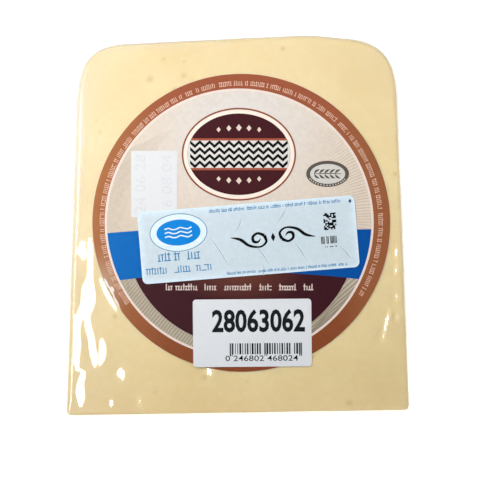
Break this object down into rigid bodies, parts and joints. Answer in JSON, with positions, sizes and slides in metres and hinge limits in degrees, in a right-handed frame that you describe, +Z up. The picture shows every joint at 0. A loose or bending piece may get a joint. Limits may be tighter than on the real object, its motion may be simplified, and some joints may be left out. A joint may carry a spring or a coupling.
{
  "type": "vacuum-packed manchego cheese wedge",
  "caption": "Blunt-tipped wedge of pale rindless cheese shrunk into clear film, with round, strip and small labels on its upper cut face.",
  "frame": {"origin": "middle of the base of the whole object's bounding box, on the surface it lies on", "axes": "+Z up; +Y from the wedge's tip to the wheel's rim; X along the axis of the wheel it was cut from"},
  "size_m": [0.115, 0.1274, 0.0502],
  "materials": {
    "cheese": "pale buttery semi-hard cheese, smooth cut with small pits, moist under film",
    "clear_film": "clear shrink film, glossy, drawn tight with fine puckers",
    "brown_label": "coated paper label printed in terracotta, maroon, cream and blue, glossy",
    "ice_label": "pale ice-blue coated paper seal with bright edges and tamper slits",
    "white_label": "white thermal paper label with black print, satin"
  },
  "bodies": {
    "root": {"vacuum_pack": "cheese", "round_label": "brown_label", "price_label": "white_label", "bar_label": "white_label", "seal_strip": "ice_label"}
  },
  "joints": []
}
